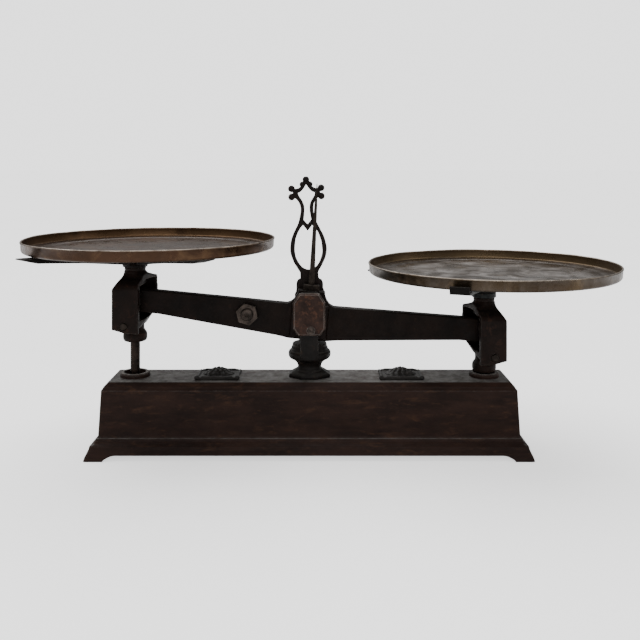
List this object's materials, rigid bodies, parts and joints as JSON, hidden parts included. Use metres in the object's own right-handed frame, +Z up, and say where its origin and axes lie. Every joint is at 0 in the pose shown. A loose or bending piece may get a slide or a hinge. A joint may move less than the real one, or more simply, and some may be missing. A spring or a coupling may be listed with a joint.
{
  "type": "equal arm balance scale",
  "caption": "Counter balance with a hollow iron base, forked column, knife-edge beam, pointer in a lyre frame and a round brass pan above each end.",
  "frame": {"origin": "on the table under the column's axis, at the centre of the four feet", "axes": "+X along the beam to the right-hand pan, +Y to the rear, +Z up; the pointer and the cover plate's screw face -Y"},
  "size_m": [0.589, 0.248, 0.2684],
  "materials": {
    "base_iron": "dark brown aged paint and rust on cast iron",
    "ornament_iron": "dark cast iron, lightly rubbed",
    "column_iron": "dark cast iron with worn edges",
    "lyre_iron": "dark cast iron",
    "beam_iron": "dark cast iron, lightly pitted",
    "carrier_iron": "dark cast iron, edges worn bright",
    "cross_iron": "dark wrought iron",
    "rusty_plate": "rusty brown steel with rubbed edges",
    "worn_steel": "worn steel",
    "dark_steel": "dark oiled steel",
    "bright_steel": "hardened ground steel",
    "rod_steel": "worn brown steel",
    "washer_steel": "bare grey steel",
    "copper_brass": "aged reddish brass, tarnished",
    "olive_brass": "aged olive brass, tarnished"
  },
  "bodies": {
    "base": {"base_casting": "base_iron", "left_ornament": "ornament_iron", "right_ornament": "ornament_iron", "column": "column_iron", "front_seat": "bright_steel", "rear_seat": "bright_steel", "front_cover_plate": "rusty_plate", "rear_cover_plate": "rusty_plate", "front_cover_screw": "worn_steel", "rear_cover_screw": "worn_steel", "lyre_frame": "lyre_iron", "lyre_screws": "worn_steel", "pivot_bracket": "dark_steel", "column_washer": "dark_steel", "column_nut": "dark_steel", "pivot_pin": "dark_steel"},
    "beam": {"beam_casting": "beam_iron", "centre_knife": "bright_steel", "left_knife": "bright_steel", "right_knife": "bright_steel", "adjuster_nut": "worn_steel", "adjuster_stud": "worn_steel", "pointer_block": "dark_steel", "pointer": "dark_steel"},
    "counter_beam": {"counter_beam": "dark_steel"},
    "left_carrier": {"left_carrier": "carrier_iron", "left_seats": "bright_steel", "left_carrier_pin": "dark_steel", "left_guide_rod": "rod_steel", "left_link_pin": "dark_steel", "left_pan_cross": "cross_iron"},
    "left_pan": {"left_pan": "copper_brass"},
    "right_carrier": {"right_carrier": "carrier_iron", "right_seats": "bright_steel", "right_carrier_pin": "dark_steel", "right_guide_rod": "rod_steel", "right_link_pin": "dark_steel", "right_pan_cross": "cross_iron", "right_washer": "washer_steel"},
    "right_pan": {"right_pan": "olive_brass"}
  },
  "joints": [
    {"name": "beam_rock", "type": "hinge", "parent": "base", "child": "beam", "pos_m": [0, 0, 0.1305], "axis": [0, 1, 0], "range_deg": [-10, 0]},
    {"name": "left_carrier_swing", "type": "hinge", "parent": "beam", "child": "left_carrier", "pos_m": [-0.17433, 0, 0.14575], "axis": [0, 1, 0], "range_deg": [0, 10]},
    {"name": "right_carrier_swing", "type": "hinge", "parent": "beam", "child": "right_carrier", "pos_m": [0.17433, 0, 0.11525], "axis": [0, 1, 0], "range_deg": [0, 10]},
    {"name": "counter_beam_rock", "type": "hinge", "parent": "base", "child": "counter_beam", "pos_m": [0, 0, 0.032], "axis": [0, 1, 0], "range_deg": [-10, 0]},
    {"name": "left_pan_lift", "type": "slide", "parent": "left_carrier", "child": "left_pan", "axis": [0, 0, 1], "range_m": [0, 0.05]},
    {"name": "right_pan_lift", "type": "slide", "parent": "right_carrier", "child": "right_pan", "axis": [0, 0, 1], "range_m": [0, 0.05]}
  ],
  "couplings": [
    {"joint": "left_carrier_swing", "follows": "beam_rock", "ratio": -1},
    {"joint": "right_carrier_swing", "follows": "beam_rock", "ratio": -1},
    {"joint": "counter_beam_rock", "follows": "beam_rock", "ratio": 1}
  ]
}
